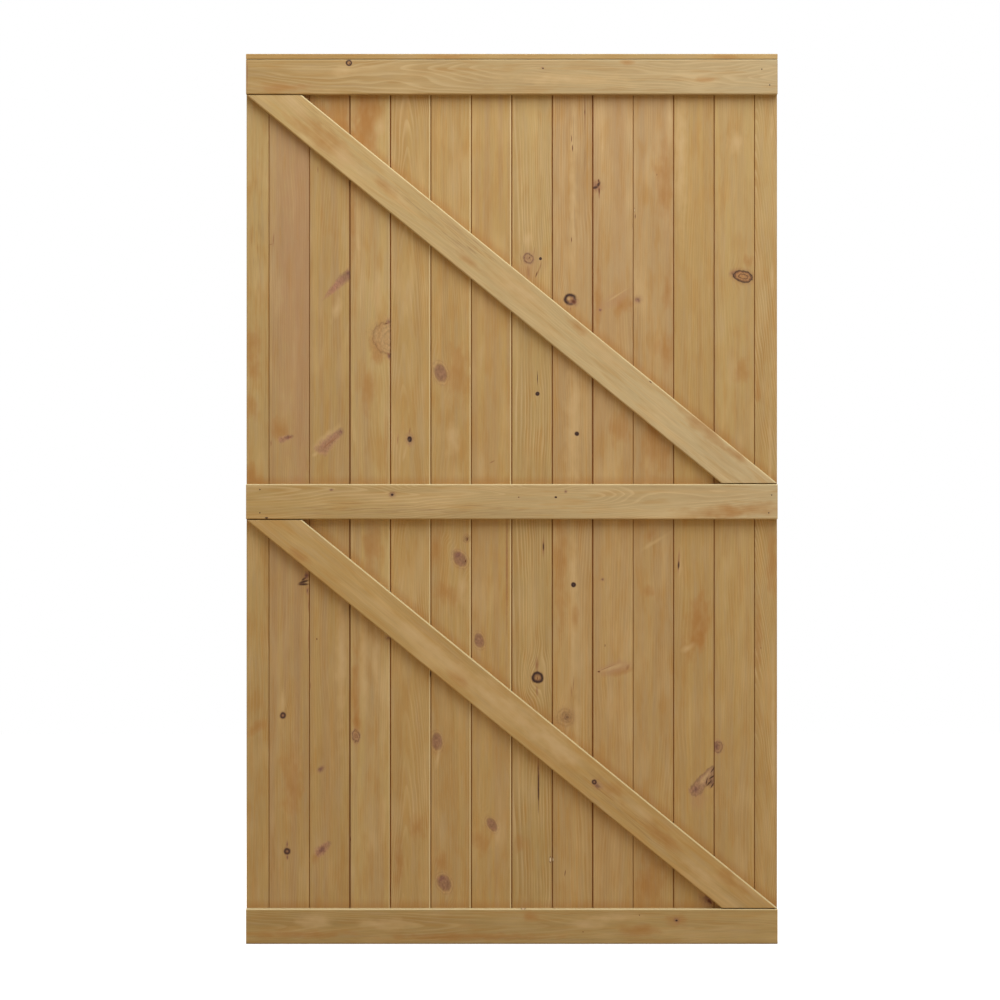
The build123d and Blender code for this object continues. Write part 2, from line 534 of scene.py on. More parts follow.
class Pine:
    """Stained pine for one piece, whose grain slopes by turn from upright through its middle."""

    def __init__(self, name, middle, turn, timber):
        self.material = bpy.data.materials.new(name)
        self.net = Net(self.material)
        self.timber = timber
        self.is_board = turn == 0
        self.whole = self.net.add("ShaderNodeTexCoord", out="Object")
        self.place = self.net.turned(self.whole, {"Location": middle, "Rotation": (0, turn, 0)})
        self.across, self.through, self.along = self.net.parts(self.place)
        self.layers = {
            layer: self.net.noise(self.place, size, timber.seed + shift, detail)
            for layer, (size, shift, detail) in LAYERS.items()
        }
        self.ragged = self.layers["ragged"] - 0.5
        self.wobble = self.layers["wobble"] - 0.5
        self.late, self.strength = self.growth()

    def near(self, mark, stretch_across=1.0, stretch_along=1.0):
        """Place measured in half sizes of a mark, which goes straight through the wood."""
        _, across, along, half_width, half_length, tilt = mark
        half_width = half_width * MM * stretch_across
        half_length = half_length * MM * stretch_along
        return self.net.turned(
            self.place,
            {
                "Location": (across * MM, 0, along * MM),
                "Rotation": (0, math.radians(tilt), 0),
                "Scale": (half_width, STRAIGHT_THROUGH, half_length),
            },
        )

    def growth(self):
        """How much of the summer wood of a year comes to the face, and how strongly it shows.

        The grain bends round each knot, and its years are nested where they bulge.
        """
        net, timber, layers = self.net, self.timber, self.layers
        bent = self.across
        for mark in timber.marks:
            kind, across = mark[:2]
            if kind in PUSHES_GRAIN:
                reach = PUSHES_GRAIN[kind]
                away = net.length(self.near(mark, reach, reach * PUSH_LENGTH))
                bent = bent - (self.across - across * MM) * net.smooth(away, 1.0, 0.0) * PUSH
        wander = (layers["wander"] - 0.5) * WANDER
        ripple = (layers["ripple"] - 0.5) * RIPPLE
        side = bent + wander + ripple - timber.pith[0]
        depth = self.through + timber.pith[1]
        year = (side * side + depth * depth) ** 0.5 / timber.year
        year = year + self.along * (timber.lean / timber.year)
        bold = 0.0
        for mark in timber.marks:
            if mark[0] == "nest":
                away = net.length(self.near(mark)) + (layers["drifts"] - 0.5) * NEST_RAGGED
                year = year + net.smooth(away, *NEST_LIFT) * NEST_RINGS
                bold = bold + net.smooth(away, *NEST_BOLD)
        by_year = net.add("ShaderNodeCombineXYZ", None, {0: year})
        uneven = net.noise(by_year, (UNEVEN_YEARS, 1.0, 1.0), timber.seed)
        season = net.add("ShaderNodeMath", {"operation": "FRACT"}, {0: year + uneven * UNEVEN_SHARE})
        late = net.smooth(season, *LATE_STARTS) * net.smooth(season, *LATE_ENDS)
        shown = net.smooth(layers["patches"], *PATCHES_SHOW) * (1.0 - LEAST_SHOWN) + LEAST_SHOWN
        strength = net.add(
            "ShaderNodeMath",
            {"operation": "MAXIMUM"},
            {0: shown * timber.figure, 1: bold * NEST_STRENGTH},
        )
        return late, strength

    def plain_colour(self, reach):
        """The wood from its foot to its head, tinted and shaded, with its years of growth."""
        net, timber, layers = self.net, self.timber, self.layers
        foot, head = reach
        ends = {"Value": self.along, "From Min": foot, "From Max": head}
        height = net.add("ShaderNodeMapRange", None, ends)
        colour = net.blend(height, TONES[timber.foot], TONES[timber.head])

        # Each tint: its layer, where it starts and is full, its share and its tone
        for layer, start, full, share, tint in (
            ("bands", 0.6, 0.4, timber.rose, ROSE),
            ("lines", 0.5, 0.7, timber.streaks, AMBER),
            ("hues", 0.52, 0.7, 0.32, AMBER),
            ("hues", 0.48, 0.3, 0.4, ASH),
            ("clouds", 0.46, 0.72, timber.amber, AMBER),
            ("drifts", 0.5, 0.75, timber.cream, CREAM),
        ):
            colour = net.blend(net.smooth(layers[layer], start, full) * share, colour, tint)
        early = (1.0 - self.late) * self.strength
        colour = net.blend(early * EARLY_AMBER, colour, AMBER)
        colour = net.blend(self.late * self.strength * LATE_CREAM, colour, CREAM)
        light = timber.shade
        for layer, swing in SHADING.items():
            light = light + (layers[layer] - 0.5) * swing
        return net.scale(colour, light - early * EARLY_DARK)

    def corner_shade_and_joints(self, colour):
        """Paints warm shade on a board just above the ledges and braces, and stains it inside its
        joints.
        """
        net = self.net
        world_x, _, world_z = net.parts(self.whole)
        front = net.smooth(self.through, *ON_FACE)
        for x, z, slope in SHADE_LINES:
            over = (world_z - z) * math.cos(slope) + (world_x - x) * math.sin(slope)
            painted_shade = net.smooth(over, *SHADE_ABOVE) * net.smooth(over, *SHADE_BELOW) * front
            # Painted warm shade just above each ledge and brace
            colour = net.blend(painted_shade * SHADE_SHARE, colour, PAINTED_CORNER_SHADE)
        joint = net.smooth(self.through, *BEHIND_FACE) * net.smooth(self.through, *BEFORE_BACK)
        joint = joint * net.smooth(world_z, *OFF_FOOT)
        joint = joint * net.smooth(world_x, *OFF_HANGING_EDGE) * net.smooth(world_x, *OFF_CLOSING_EDGE)
        return net.blend(joint * JOINT_SHARE, colour, IN_JOINT)

    def highlit_and_stained(self, colour, half_width):
        """Paints a highlight on the arrises marked pale, and stains those marked dark."""
        net = self.net
        for sign, highlight_and_stain in zip((-1.0, 1.0), self.timber.edges):
            if not highlight_and_stain:
                continue
            outwards = self.across * sign
            beside_joint = highlight_and_stain > 0 and self.is_board
            start, full = WIDE_HIGHLIGHT if beside_joint else NARROW_EDGE
            edge = net.smooth(outwards, half_width - start, half_width - full)
            if beside_joint:
                start, full = HIGHLIGHT_STOPS
                edge = edge * net.smooth(outwards, half_width - start, half_width - full)
            # Pale edges get a painted highlight, dark edges a stain
            colour = net.blend(edge * abs(highlight_and_stain), colour, PAINTED_HIGHLIGHT if highlight_and_stain > 0 else STAINED)
        return colour

    def marked(self, colour, mark):
        """Draws one knot, split or stain."""
        net = self.net
        kind = mark[0]
        fade = FADES_AT.get(kind, RIM)
        near = self.near(mark, fade, fade)
        side, _, ahead = net.parts(near)
        if kind in TAPERS:
            wide = side / (TAPER_WAIST + ahead * TAPERS[kind])
            near = net.add("ShaderNodeCombineXYZ", None, {0: wide, 1: 0.0, 2: ahead * ahead * ahead})
        rough, loose = OUTLINES.get(kind, PLAIN_OUTLINE)
        away = net.length(near) + self.ragged * rough + self.wobble * loose
        drawn = net.add("ShaderNodeValToRGB", {"stops": MARKS[kind]}, {0: away})
        cover = drawn.other("Alpha")
        if kind in DARK_HEADS:
            start, full, share, head = DARK_HEADS[kind]
            drawn = net.blend(net.smooth(ahead, start, full) * share, drawn, head)
        if kind == "spike":
            cover = cover * net.smooth(ahead, *SPIKE_FADE)
        if kind == "lines":
            hairs = net.noise(self.place, HAIRS_SIZE, self.timber.seed + HAIRS_SHIFT)
            cover = cover * net.smooth(hairs, *HAIRS_SHOW)
        if kind in MOTTLED:
            drawn = net.scale(drawn, MOTTLE_LEAST + self.layers["mottle"] * MOTTLE_SWING)
        if kind == "ring":
            cover = cover * net.smooth(self.layers["mottle"], *BROKEN_RING)
        return net.blend(cover, colour, drawn)

    def finished(self, colour):
        """The material with this colour and a fine raised grain."""
        net = self.net
        raised = self.layers["fibre"] + self.late * LATE_RAISED
        bump = net.add(
            "ShaderNodeBump",
            None,
            {"Strength": GRAIN_STRENGTH, "Distance": GRAIN_HEIGHT, "Height": raised},
        )
        surface = net.add(
            "ShaderNodeBsdfPrincipled",
            None,
            {
                "Base Color": colour,
                "Roughness": ROUGHNESS - self.late * LATE_SMOOTHER,
                "Normal": bump,
                "Specular IOR Level": SHEEN,
            },
        )
        net.add("ShaderNodeOutputMaterial", None, {"Surface": surface})
        return self.material


def dress(node, middle, turn, reach, half_width, timber):
    """Gives every face of a node its own stained pine.

    reach: where the piece starts and ends along its grain, counted as its marks are.
    """
    wood = Pine("pine_" + node, middle, turn, timber)
    colour = wood.plain_colour(reach)
    if wood.is_board:
        colour = wood.corner_shade_and_joints(colour)
    colour = wood.highlit_and_stained(colour, half_width)
    for mark in timber.marks:
        if mark[0] != "nest":
            colour = wood.marked(colour, mark)
    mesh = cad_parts[node].data
    mesh.materials.clear()
    mesh.materials.append(wood.finished(colour))


def middle_of(node):
    low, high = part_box(node)
    return tuple((low + high) / 2)


# Boards by their number: marks count up from the foot

BOARDS = {
    1: Timber(
        1.7, "tan", "straw", 0.95, amber=0.5, rose=0.1, streaks=0.3,
        marks=(
            ("stain", -10, 1216, 16.2, 28.4, 0),
            ("stain", -8, 1165, 10.1, 18.2, 0),
            ("stain", -16, 1084, 10.1, 20.3, 0),
            ("stain", -12, 955, 8.1, 14.2, 0),
            ("stain", -4, 436, 8.1, 26.3, 55),
            ("lines", -4, 1404, 12.2, 121.6, 0),
        ),
    ),
    2: Timber(
        3.4, "tan", "rose", 0.95, rose=0.4, amber=0.15,
        marks=(
            ("blush", 20, 1333, 32.4, 324.2, 0),
            ("stain", -19, 1040, 18.2, 18.2, 0),
            ("stain", 4, 330, 16.2, 60.8, 0),
            ("streak", -32, 1425, 1.8, 18.2, 4),
            ("streak", -37, 1416, 5.3, 1.6, -10),
            ("feather", -7, 1022, 12.2, 17, 70),
            ("smudge", -3, 1024, 8.1, 4.9, -24),
            ("streak", 2, 1025, 6.1, 2, -28),
            ("streak", -37, 1013, 2, 8.1, 0),
            ("smudge", 35, 746, 5.3, 7.3, 30),
            ("smudge", 37, 715, 2.8, 8.9, 0),
            ("resin", 36, 730, 5.3, 4.5, 0),
            ("split", 29, 732, 3.4, 15, 72),
            ("split", 29, 727, 3.4, 15, 88),
            ("split", 30, 738, 2.6, 7.3, 56),
            ("smudge", 36, 744, 5.3, 6.1, 0),
            ("streak", 39, 685, 2, 20.3, 0),
            ("streak", 39, 614, 1.6, 32.4, 0),
            ("resin", -13, 488, 4.1, 18.2, 0),
            ("button", -13, 461, 6.1, 6.9, 30),
            ("smudge", -4, 201, 2.8, 6.9, 0),
            ("smudge", -4, 174, 2.8, 6.1, 0),
            ("button", -4, 186, 6.7, 6.7, 0),
        ),
    ),
    3: Timber(
        5.1, "tan", "tan", 0.96, rose=0.3, edges=(0.0, -0.4),
        marks=(
            ("stain", 17, 1696, 18.2, 44.6, 0),
            ("stain", 31, 1652, 12.2, 28.4, 0),
            ("streak", -24, 1567, 1.6, 8.1, 0),
            ("resin", 13, 1285, 8.1, 20.3, 20),
            ("spike", 11, 1329, 14.6, 46.6, 45),
            ("smudge", 38, 1358, 5.3, 10.1, 10),
            ("resin", -8, 1025, 6.1, 26.3, 50),
            ("feather", 1, 1017, 24.3, 37.5, 47),
            ("streak", -3, 1012, 2, 20.3, 47),
            ("streak", 8, 1019, 1.6, 14.2, 47),
            ("resin", -30, 990, 6.1, 3.2, -30),
            ("smudge", 23, 1036, 3.6, 3.6, 0),
            ("crack", -26, 616, 1.4, 3, 0),
            ("streak", -39, 521, 1.6, 10.1, 0),
            ("smudge", -17, 353, 8.9, 5.3, -35),
            ("resin", 23, 574, 8.1, 121.6, 0),
            ("stain", -28, 176, 6.1, 12.2, 30),
            ("feather", -13, 192, 18.2, 22.3, 46),
            ("smudge", -16, 189, 8.1, 11.3, 46),
        ),
    ),
    4: Timber(
        6.8, "straw", "straw", 1.0, amber=0.4, cream=0.4, figure=0.3, edges=(-0.4, 0.45),
        marks=(
            ("stain", 4, 805, 16.2, 28.4, 0),
            # The next marks darken the head of the board in the corner under the top ledge and above
            # the upper brace
            ("stain", -8, 1664, 18.2, 60.8, 0),
            ("stain", -13, 1635, 18.2, 48.6, 0),
            ("stain", -29, 1676, 10.1, 44.6, 0),
            ("stain", 8, 1684, 20.3, 28.4, 0),
            ("resin", 20, 1656, 10.1, 18.2, 0),
            ("stain", -35, 1475, 6.1, 81.1, 0),
            ("resin", -24, 1415, 3.6, 52.7, -2),
            ("stain", 12, 1202, 10.1, 24.3, -30),
            ("burr", 42, 1227, 36.5, 34.5, 0),
            ("smudge", 37, 1259, 4.9, 6.1, 0),
            ("smudge", 39, 1190, 4.1, 6.1, 0),
            ("crack", 32, 1255, 1.4, 6.1, 75),
            ("streak", 37, 1194, 2.4, 6.1, -60),
            ("stain", -2, 1117, 12.2, 48.6, 0),
            ("smudge", 36, 618, 6.1, 6.1, 0),
            ("resin", -13, 549, 8.1, 89.2, 0),
            ("resin", 12, 574, 6.1, 60.8, 0),
            ("stain", -27, 444, 8.1, 12.2, 0),
            ("smudge", -29, 420, 6.9, 10.9, -8),
            ("ring", -29, 420, 8.1, 13.4, -8),
            ("stain", -29, 492, 6.1, 81.1, 0),
            ("crack", -40, 211, 1.4, 7.3, 0),
        ),
    ),
    5: Timber(
        8.5, "tan", "tan", pith=(-0.012, 0.02), figure=0.5, year=0.0045, lean=0.06, rose=0.1,
        edges=(-0.2, 0.8),
        marks=(
            ("stain", 15, 237, 14.2, 20.3, 0),
            ("stain", -24, 168, 8.1, 40.5, 0),
            ("streak", -26, 1021, 1.6, 14.2, 4),
            ("streak", -2, 1038, 2.4, 8.9, 10),
            ("smudge", -2, 1020, 8.1, 10.9, 10),
            ("pin", -2, 1021, 4.5, 6.1, 0),
            ("resin", -11, 995, 2.8, 14.2, 14),
            ("split", 40, 545, 1.6, 8.1, 0),
        ),
    ),
    6: Timber(
        10.2, "tan", "tan", amber=0.45, rose=0.15, streaks=0.3, edges=(-0.2, 0.8),
        marks=(
            ("stain", 16, 1157, 18.2, 44.6, 0),
            ("resin", 2, 1025, 12.2, 28.4, 0),
            ("stain", -10, 713, 24.3, 18.2, 30),
            ("stain", -31, 801, 10.1, 28.4, 0),
            ("resin", 22, 715, 8.1, 24.3, 0),
            ("knot", 31, 820, 6.9, 8.1, 0),
            ("crack", 33, 818, 1.4, 5.3, 16),
            ("live", -21, 1156, 13.8, 20.7, -17),
            ("live", 18, 778, 13.2, 17.6, -38),
            ("smudge", 14, 786, 8.1, 8.9, 0),
            ("crack", 29, 774, 1.6, 4.1, 0),
            ("live", -29, 408, 11.6, 19.3, -4),
            ("resin", -27, 375, 3.2, 18.2, 8),
            ("stain", -22, 164, 12.2, 20.3, 0),
            ("live", -14, 122, 13.8, 19.5, -28),
            ("smudge", -19, 131, 8.9, 7.3, -40),
        ),
    ),
    7: Timber(
        11.9, "tan", "tan", 1.01, figure=0.1, rose=0.3, edges=(-0.2, 0.8),
        marks=(
            ("streak", 1, 975, 1.8, 8.1, 62),
            ("live", -25, 613, 10.5, 16.6, -14),
            ("stain", -19, 205, 14.2, 20.3, 0),
            ("resin", 13, 225, 6.1, 20.3, 0),
            ("live", 1, 240, 9.5, 16.2, -32),
            ("streak", 31, 776, 3.2, 182.4, 0),
        ),
    ),
    8: Timber(
        13.6, "olive", "straw", 0.99, pith=(-0.05, 0.045), figure=0.7, rose=0.1,
        marks=(
            ("resin", -8, 1425, 8.1, 14.2, 0),
            ("streak", -22, 1384, 1.2, 16.2, -12),
            ("streak", 4, 1400, 1.2, 14.2, 8),
            ("blush", -2, 1372, 18.2, 28.4, 0),
            ("ring", -7, 1387, 9.7, 10.5, 0),
            ("pin", 17, 1387, 3.2, 3.2, 0),
            ("streak", 17, 1372, 2, 10.1, 14),
            ("crack", 9, 1355, 1.6, 8.9, 18),
            ("streak", 13, 1362, 1.8, 10.1, 14),
            ("crack", -5, 1389, 1.4, 3.6, 20),
            ("crack", -12, 1381, 1.2, 3.2, -30),
            ("streak", -7, 1360, 4.1, 18.2, 0),
            ("streak", -10, 1364, 1.2, 12.2, 6),
            ("pin", 11, 1113, 4.5, 4.5, 0),
            ("split", 11, 1145, 1, 18.2, 0),
            ("streak", 23, 803, 3.2, 26.3, 0),
            ("split", 23, 803, 2.2, 10.9, 0),
            ("streak", 10, 565, 4.5, 20.3, 0),
            ("nest", 4, 537, 40.5, 68.9, 0),
            ("streak", 10, 511, 3.2, 14.2, 0),
            ("dead", 11, 538, 12.2, 11.3, 20),
            ("crack", 11, 537, 1.6, 6.1, 0),
            ("stain", -22, 203, 12.2, 14.2, 0),
            ("streak", 13, 341, 3.6, 68.9, 0),
            ("split", 13, 314, 2.2, 56.7, 0),
            ("chip", 37, 169, 3.2, 8.1, 0),
        ),
    ),
    9: Timber(
        15.3, "tan", "rose", 1.02, figure=0.4, rose=0.15, streaks=0.4, edges=(-0.3, -0.2),
        marks=(
            ("resin", 1, 1637, 6.1, 73, 0),
            ("resin", 3, 1475, 6.1, 121.6, 0),
            ("resin", 1, 1060, 12.2, 101.3, 0),
            ("resin", 2, 764, 8.1, 68.9, 0),
            ("resin", 1, 594, 4.9, 73, 0),
            ("resin", 9, 448, 5.3, 44.6, 0),
            ("stain", -25, 776, 10.1, 101.3, 0),
            ("stain", 5, 663, 6.1, 18.2, 0),
            ("lines", -1, 1627, 6.1, 52.7, 0),
            ("lines", 1, 1455, 6.1, 60.8, 0),
            ("streak", 25, 1684, 1.8, 44.6, 0),
            ("lines", 23, 1627, 4.9, 81.1, 0),
            ("crack", -2, 1631, 1.2, 10.1, 0),
            ("crack", 0, 1611, 1.2, 8.1, 0),
            ("crack", 25, 1684, 1.4, 8.1, 0),
            ("crack", -2, 1425, 1.2, 6.1, 0),
            ("streak", -4, 1287, 2.4, 10.1, 0),
            ("dead", -5, 1304, 11.8, 11.8, 0),
            ("smudge", 1, 1298, 9.7, 8.5, -40),
            ("crack", 2, 1300, 5.3, 6.1, -40),
            ("resin", -8, 1306, 2.8, 3.2, 0),
            ("pin", 9, 1032, 5.1, 5.1, 0),
            ("pin", 2, 726, 5.3, 5.3, 0),
            ("streak", 2, 525, 1.4, 20.3, 3),
            ("streak", -2, 509, 1.2, 16.2, -3),
            ("knot", -14, 457, 17, 17.8, 0),
            ("knot", -11, 458, 10.1, 10.9, 0),
            ("chip", -40, 169, 2.8, 6.9, 0),
            ("crack", -15, 142, 1, 8.1, 8),
        ),
    ),
    10: Timber(
        17.0, "tan", "rose", 1.03, rose=0.25, streaks=0.1, edges=(-0.2, 0.0),
        marks=(
            ("resin", -21, 1615, 3.2, 34.5, 0),
            ("stain", 26, 1297, 10.1, 14.2, 0),
            ("stain", 14, 1040, 16.2, 24.3, 0),
            ("stain", -30, 1303, 6.1, 48.6, 0),
            ("stain", -32, 1534, 8.1, 10.1, 0),
            ("smudge", -33, 1534, 10.1, 10.9, 0),
            ("streak", -28, 1518, 2, 14.2, 0),
            ("split", -29, 1538, 4.1, 8.1, 24),
            ("split", -36, 1531, 8.1, 3.9, -14),
            ("crack", -29, 1545, 2.8, 5.7, 0),
            ("crack", -28, 1524, 2.2, 10.1, 0),
            ("stain", 20, 1291, 8.1, 18.2, 40),
            ("blush", 8, 1305, 9.1, 38.5, 57),
            ("resin", 12, 1315, 1.6, 20.3, 57),
            ("smudge", -26, 1283, 3.2, 3.2, 0),
            ("smudge", -21, 737, 3.6, 3.6, 0),
            ("crack", -16, 603, 0.8, 3.2, 0),
            ("stain", 20, 550, 5.3, 22.3, 74),
            ("blush", 6, 559, 10.9, 36.5, 76),
            ("blush", 4, 559, 6.1, 30.4, 76),
            ("resin", 0, 559, 3.6, 24.3, 74),
            ("streak", -12, 558, 1.2, 24.3, 68),
            ("crack", -29, 550, 3.6, 2.4, 0),
            ("streak", 30, 559, 4.1, 8.1, 20),
        ),
    ),
    11: Timber(
        18.7, "tan", "rose", rose=0.2, amber=0.5,
        marks=(
            ("stain", 3, 1007, 24.3, 52.7, 0),
            ("stain", -7, 120, 24.3, 44.6, 0),
            ("stain", 21, 1546, 14.2, 68.9, 0),
            ("resin", 33, 1672, 3.6, 44.6, 0),
            ("stain", 28, 1319, 8.1, 28.4, 0),
            ("stain", 23, 1198, 14.2, 28.4, 0),
            ("resin", -33, 1327, 6.1, 24.3, 0),
            ("stain", -7, 827, 8.1, 12.2, 30),
            ("resin", 3, 813, 3.6, 26.3, 58),
            ("stain", -13, 711, 10.1, 10.1, 0),
            ("chip", -38, 1485, 1, 6.1, 0),
            ("crack", -37, 1473, 1.2, 6.9, 0),
            ("crack", 7, 1557, 0.8, 2.8, 0),
            ("smudge", -31, 1304, 8.1, 7.7, 0),
        ),
    ),
    12: Timber(
        20.4, "tan", "tan", rose=0.15, cream=0.1,
        marks=(
            ("resin", -26, 1607, 10.1, 121.6, 0),
            ("stain", 0, 634, 16.2, 52.7, 12),
            ("stain", 16, 651, 14.2, 40.5, 0),
            ("stain", 6, 614, 10.1, 20.3, 30),
            ("resin", -12, 598, 14.2, 5.3, -30),
            ("resin", -29, 762, 5.3, 30.4, 0),
            ("streak", -31, 772, 3.2, 32.4, 3),
            ("split", -31, 766, 2.4, 11.3, 3),
            ("blush", 8, 290, 14.2, 18.2, 0),
            ("wedge", 19, 329, 21.3, 38.5, 37),
            ("smudge", 4, 312, 10.1, 12.2, 40),
            ("smudge", 35, 326, 6.9, 12.2, 30),
            ("split", 38, 351, 1.8, 10.1, 34),
            ("split", 31, 324, 2.4, 10.1, 40),
            ("split", 37, 319, 2.2, 8.1, 30),
            ("split", 36, 336, 2, 8.9, 56),
            ("split", 26, 328, 1.6, 10.1, 12),
            ("resin", 24, 338, 2.8, 12.2, 36),
            ("smudge", 27, 88, 12.2, 16.2, -48),
            ("crack", 32, 84, 4.1, 8.9, -48),
        ),
    ),
    13: Timber(
        22.1, "tan", "straw", rose=0.2, amber=0.3, edges=(-0.2, 0.0),
        marks=(
            ("stain", 28, 1380, 8.1, 10.1, 0),
            ("stain", 16, 1161, 12.2, 20.3, 0),
            ("resin", 3, 1621, 16.2, 18.2, 30),
            ("stain", 49, 855, 6.1, 8.1, 0),
            ("smudge", 0, 1358, 8.9, 6.1, -20),
            ("eye", 18, 1351, 21.1, 12.2, 12),
            ("ring", -33, 397, 10.1, 11.8, 0),
            ("smudge", -36, 398, 8.9, 10.5, 0),
        ),
    ),
    14: Timber(
        23.8, "tan", "straw", pith=(-0.03, 0.016), year=0.004, lean=0.12, figure=0.7, rose=0.1,
        streaks=0.3,
        marks=(
            ("resin", 9, 979, 3.2, 141.9, 0),
            ("resin", 15, 452, 3.2, 182.4, 0),
            ("resin", 11, 1644, 3.6, 24.3, 0),
            ("resin", 13, 1344, 3.2, 28.4, 0),
            ("stain", 13, 776, 8.1, 60.8, 0),
            ("stain", -17, 1121, 4.9, 24.3, 0),
            ("stain", -16, 614, 6.1, 60.8, 0),
            ("crack", -10, 598, 1, 1.6, 0),
        ),
    ),
}

JOINTS = [-LEAF_WIDTH] + [FIRST_JOINT + BOARD_COVER * n for n in range(FULL_BOARDS + 1)] + [0.0]
for number, timber in BOARDS.items():
    left, right = JOINTS[number - 1], JOINTS[number]
    middle = ((left + right) / 2, 0, 0)
    dress(f"board_{number:02d}", middle, 0.0, (0.0, BOARD_TOP), (right - left) / 2, timber)

# Ledges and capping: their grain runs level, and marks count along from the middle and down
# from the middle line

LEVEL = math.radians(90)
RAILS = {
    "top_ledge": Timber(
        41.0, "tan", "pale", 0.9, pith=(-0.004, 0.016), year=0.0045, lean=-0.05, figure=0.65,
        amber=0.08, rose=0.0, cream=0.3, edges=(0.3, 0.0),
        marks=(
            ("nest", -5, -230, 28.3, 210.3, 0),
            ("nest", -5, 380, 28.3, 194.1, 0),
            # A thin dark line at the left end: painted shade on the ledge's rounded end
            ("streak", -5, -535, 44.5, 1.8, 0),
            ("resin", -12, -339, 8.1, 20.2, 0),
            ("stain", 6, 397, 4, 18.2, 0),
            ("stain", -30, 231, 4, 12.1, 0),
            ("stain", 23, -459, 8.1, 44.5, 0),
            ("resin", 5, 97, 8.1, 101.1, 0),
            ("dead", -28, -329, 6.1, 6.1, 0),
            ("crack", -27, -328, 1.6, 2.4, 40),
            ("smudge", -18, 62, 2.4, 4, 20),
            ("pin", -17, 63, 1.8, 1.8, 0),
        ),
    ),
    "middle_ledge": Timber(
        43.0, "olive", "pale", 1.02, pith=(-0.016, 0.014), year=0.0045, lean=0.06, figure=0.55,
        amber=0.08, rose=0.0, cream=0.25, edges=(0.9, 0.0),
        marks=(
            ("nest", -15, 290, 20.2, 129.4, 0),
            ("stain", 17, 486, 12.1, 52.6, 0),
            ("stain", 21, 413, 8.1, 60.7, 0),
            ("nest", -28, -174, 16.2, 101.1, 0),
            ("nest", -28, 37, 16.2, 113.2, 0),
            ("lines", 15, -327, 12.1, 121.3, 0),
            ("lines", 19, -85, 10.1, 141.5, 0),
            ("smudge", -24, -365, 2.6, 4.4, 0),
            ("smudge", -14, -242, 5.7, 6.5, 0),
            ("pin", -14, -242, 2.4, 3, 0),
            ("pin", -9, 89, 2.2, 2.8, 0),
            ("smudge", -21, 109, 3.2, 3.2, 0),
            ("crack", -9, 14, 1.6, 1.6, 0),
            ("pin", 33, -496, 1.8, 3.8, 0),
        ),
    ),
    "bottom_ledge": Timber(
        45.0, "olive", "straw", 0.93, pith=(0.006, 0.02), year=0.0045, lean=0.05, figure=0.35,
        amber=0.25, rose=0.0, cream=0.25, edges=(0.9, -0.3),
        marks=(
            ("stain", -11, 334, 10.1, 18.2, 0),
            ("stain", 7, 259, 10.1, 32.4, 0),
            ("resin", -11, -396, 12.1, 32.4, 0),
            ("resin", -5, -258, 10.1, 44.5, 0),
            ("resin", -5, 154, 8.1, 28.3, 0),
            ("stain", -21, 41, 8.1, 14.2, 0),
            ("resin", -17, 199, 6.1, 52.6, 0),
            ("stain", 15, -428, 6.1, 80.9, 0),
            ("stain", 21, -85, 6.1, 121.3, 0),
            ("smudge", -12, 333, 5.7, 6.9, 0),
            ("pin", -12, 333, 2, 2.6, 0),
            ("crack", -23, 258, 1.4, 1.6, 0),
            ("crack", 11, 144, 1.2, 1.8, 0),
            ("chip", -35, 23, 1.8, 5.3, 0),
            ("stain", -19, 38, 6.1, 10.1, 0),
        ),
    ),
    "top_capping": Timber(
        47.0, "honey", "straw", 0.95, pith=(0.1, 0.03), year=0.003, figure=0.4, rose=0.0,
        marks=(
            ("stain", 1, 429, 4, 24.3, 0),
            ("stain", 1, -135, 4, 24.3, 0),
        ),
    ),
}
for node, timber in RAILS.items():
    dress(node, middle_of(node), LEVEL, (LEAF_MIDDLE, -LEAF_MIDDLE), RAIL_HALF_WIDTH, timber)

# Braces: their grain falls towards the hanging edge

